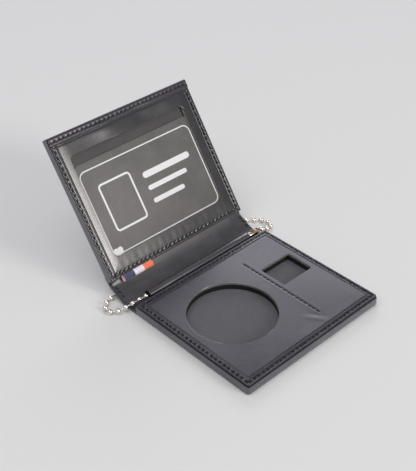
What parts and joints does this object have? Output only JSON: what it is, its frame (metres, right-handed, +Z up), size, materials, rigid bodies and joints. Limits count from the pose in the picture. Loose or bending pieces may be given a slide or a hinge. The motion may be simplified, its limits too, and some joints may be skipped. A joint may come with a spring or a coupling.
{
  "type": "badge wallet",
  "caption": "Black leather folding badge wallet: base leaf with round and oblong badge recesses, lid with a clear card window, striped pull tab and a neck ball chain.",
  "frame": {"origin": "centre of the base leaf's flat underside", "axes": "+X along the spine, +Y from the base leaf's front edge towards the lid, +Z up out of the base leaf's face"},
  "size_m": [0.1281, 0.1665, 0.0821],
  "materials": {
    "smooth_black_leather": "semi-matte, fine grain",
    "glossy_black_leather": "polished",
    "lining_black": "semi-gloss",
    "recess_velvet": "matte",
    "board_grey": "matte",
    "spacer_black": "bonded leather board, matte",
    "thread_black": "waxed thread",
    "nickel": "polished nickel",
    "clear_film": "clear",
    "card_print": "printed card",
    "striped_ribbon": "woven stripes"
  },
  "bodies": {
    "base": {"base_cover": "smooth_black_leather", "base_board": "board_grey", "recess_floor": "recess_velvet", "recess_spacer": "spacer_black", "face_panel": "smooth_black_leather", "base_stitches": "thread_black", "divider_stitches": "thread_black", "base_lining": "lining_black", "chain_sleeve": "glossy_black_leather", "chain_beads": "nickel", "chain_links": "nickel", "chain_coupling": "nickel"},
    "spine": {"spine_cover": "smooth_black_leather", "spine_lining": "lining_black", "spine_stitches": "thread_black", "ribbon_tab": "striped_ribbon"},
    "lid": {"lid_cover": "smooth_black_leather", "lid_board": "board_grey", "lid_lining": "lining_black", "window_film": "clear_film", "window_frame": "glossy_black_leather", "lid_stitches": "thread_black", "hem_stitches": "thread_black"},
    "card": {"insert_card": "card_print"}
  },
  "joints": [
    {"name": "spine_fold", "type": "hinge", "parent": "base", "child": "spine", "pos_m": [0, 0.0543, 0.00055], "axis": [1, 0, 0], "range_deg": [-3, 86]},
    {"name": "lid_fold", "type": "hinge", "parent": "spine", "child": "lid", "pos_m": [0, 0.0669, 0.00688], "axis": [1, 0, 0], "range_deg": [-50, 39]},
    {"name": "card_slide", "type": "slide", "parent": "lid", "child": "card", "axis": [0, 0.5736, 0.8192], "range_m": [0, 0.07]}
  ]
}
